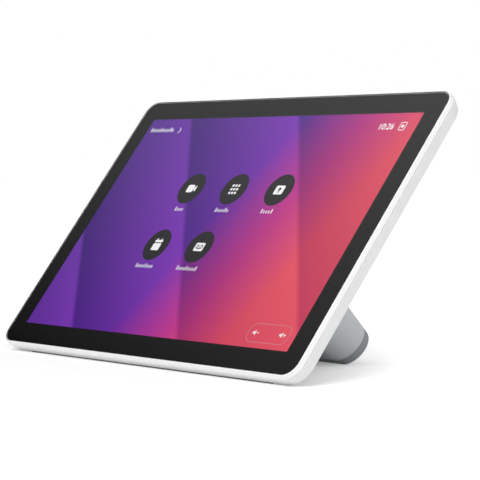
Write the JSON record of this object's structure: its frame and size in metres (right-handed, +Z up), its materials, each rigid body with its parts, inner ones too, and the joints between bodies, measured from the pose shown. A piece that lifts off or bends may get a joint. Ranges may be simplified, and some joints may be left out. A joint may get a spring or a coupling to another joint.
{
  "type": "touch desk phone",
  "caption": "Touch-screen desk phone: a flat glass panel with a white rim leans back on one tapered foot, which hides a network socket under a lift-off cable cover.",
  "frame": {"origin": "on the table, below the middle of the object's box", "axes": "+X to the right of someone who faces the screen, +Y away from them, +Z up"},
  "size_m": [0.2438, 0.105, 0.1324],
  "materials": {
    "cover_glass": "polished",
    "black_print": "gloss",
    "lit_display": "lit, behind the glass",
    "white_plastic": "fine satin",
    "light_grey_plastic": "fine satin",
    "mid_grey_plastic": "matt",
    "grey_rubber": "matt",
    "black_rubber": "matt",
    "foam": "matt",
    "reflector_plastic": "satin",
    "aluminium": "mill",
    "steel": "plated",
    "circuit_board": "satin",
    "black_plastic": "matt",
    "ferrite": "matt",
    "gold_plate": "polished",
    "ribbon_film": "satin",
    "thermal_silicone": "matt"
  },
  "bodies": {
    "panel": {"backlight_tray": "reflector_plastic", "board_connector": "black_plastic", "board_screws": "steel", "border_film": "black_print", "cap_boot": "grey_rubber", "cover_glass": "cover_glass", "display_cell": "lit_display", "display_ribbon": "ribbon_film", "end_cap": "mid_grey_plastic", "front_frame": "white_plastic", "glass_gasket": "foam", "heat_spreader": "aluminium", "housing_screws": "steel", "jack_contacts": "gold_plate", "loudspeaker": "black_plastic", "main_board": "circuit_board", "microphones": "black_plastic", "mid_plate": "aluminium", "network_jack": "steel", "panel_foot": "black_rubber", "plate_screws": "steel", "power_board": "circuit_board", "power_board_screws": "steel", "power_transformer": "ferrite", "processor_shield": "steel", "rear_housing": "white_plastic", "reset_switch": "black_plastic", "speaker_gasket": "foam", "stand_bracket": "steel", "stand_screws": "steel", "stand_shell": "light_grey_plastic", "thermal_pad": "thermal_silicone"},
    "cable_cover": {"cable_cover": "light_grey_plastic"},
    "reset_button": {"reset_button": "mid_grey_plastic"}
  },
  "joints": [
    {"name": "cover_lift", "type": "slide", "parent": "panel", "child": "cable_cover", "axis": [0, 0.723, 0.6909], "range_m": [0, 0.03]},
    {"name": "reset_press", "type": "slide", "parent": "panel", "child": "reset_button", "axis": [0, -0.7914, 0.6113], "range_m": [0, 0.0008], "stiffness_N_per_m": 3000}
  ]
}
